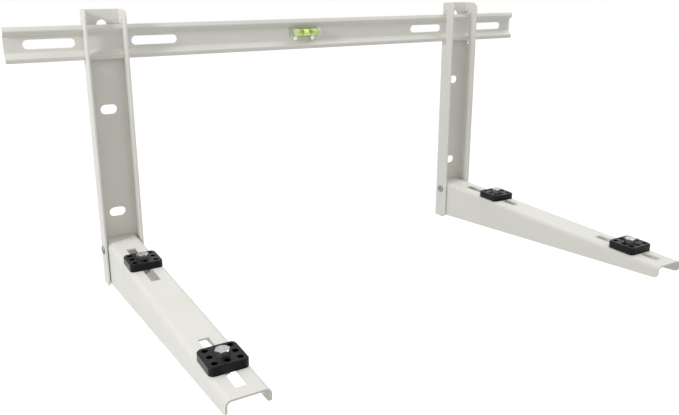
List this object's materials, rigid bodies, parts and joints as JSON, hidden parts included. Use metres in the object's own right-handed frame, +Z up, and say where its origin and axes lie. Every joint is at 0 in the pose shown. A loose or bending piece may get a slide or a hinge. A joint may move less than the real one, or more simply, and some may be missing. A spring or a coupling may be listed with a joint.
{
  "type": "air conditioner wall bracket",
  "caption": "Sheet-steel wall bracket for an outdoor air conditioner: levelling crossbar, sliding uprights, tapered arms and rubber pads that slide in the arms' slots.",
  "frame": {"origin": "middle of the crossbar's slots, on the back face of its web", "axes": "+X along the crossbar to the right, +Y into the wall, +Z up"},
  "size_m": [0.8, 0.4457, 0.362],
  "materials": {
    "powder_coat": "cream powder coat, fine satin",
    "zinc": "zinc plated, satin",
    "rubber": "moulded, slightly glossy",
    "vial": "clear acrylic",
    "liquid": "yellow-green liquid",
    "clear_plastic": "clear moulded plastic",
    "white_plastic": "white moulded plastic"
  },
  "bodies": {
    "bar": {"crossbar": "powder_coat", "level_saddle": "clear_plastic", "level_vial": "vial", "level_liquid": "liquid", "level_end_plugs": "clear_plastic", "level_rivets": "white_plastic"},
    "left_bracket": {"left_upright": "powder_coat", "left_arm": "powder_coat", "left_arm_rivets": "zinc", "left_arm_spacers": "zinc"},
    "right_bracket": {"right_upright": "powder_coat", "right_arm": "powder_coat", "right_arm_rivets": "zinc", "right_arm_spacers": "zinc"},
    "left_rear_pad_set": {"left_rear_pad": "rubber", "left_rear_pad_bolt": "zinc", "left_rear_pad_washer": "zinc", "left_rear_pad_nut": "zinc"},
    "left_front_pad_set": {"left_front_pad": "rubber", "left_front_pad_bolt": "zinc", "left_front_pad_washer": "zinc", "left_front_pad_nut": "zinc"},
    "right_rear_pad_set": {"right_rear_pad": "rubber", "right_rear_pad_bolt": "zinc", "right_rear_pad_washer": "zinc", "right_rear_pad_nut": "zinc"},
    "right_front_pad_set": {"right_front_pad": "rubber", "right_front_pad_bolt": "zinc", "right_front_pad_washer": "zinc", "right_front_pad_nut": "zinc"}
  },
  "joints": [
    {"name": "left_bracket_slide", "type": "slide", "parent": "bar", "child": "left_bracket", "axis": [1, 0, 0], "range_m": [-0.087, 0.225]},
    {"name": "right_bracket_slide", "type": "slide", "parent": "bar", "child": "right_bracket", "axis": [1, 0, 0], "range_m": [-0.2205, 0.0915]},
    {"name": "left_rear_pad_slide", "type": "slide", "parent": "left_bracket", "child": "left_rear_pad_set", "axis": [0, 1, 0], "range_m": [-0.051, 0.055]},
    {"name": "left_front_pad_slide", "type": "slide", "parent": "left_bracket", "child": "left_front_pad_set", "axis": [0, 1, 0], "range_m": [-0.0403, 0.0477]},
    {"name": "right_rear_pad_slide", "type": "slide", "parent": "right_bracket", "child": "right_rear_pad_set", "axis": [0, 1, 0], "range_m": [-0.042, 0.064]},
    {"name": "right_front_pad_slide", "type": "slide", "parent": "right_bracket", "child": "right_front_pad_set", "axis": [0, 1, 0], "range_m": [-0.0403, 0.0477]}
  ]
}
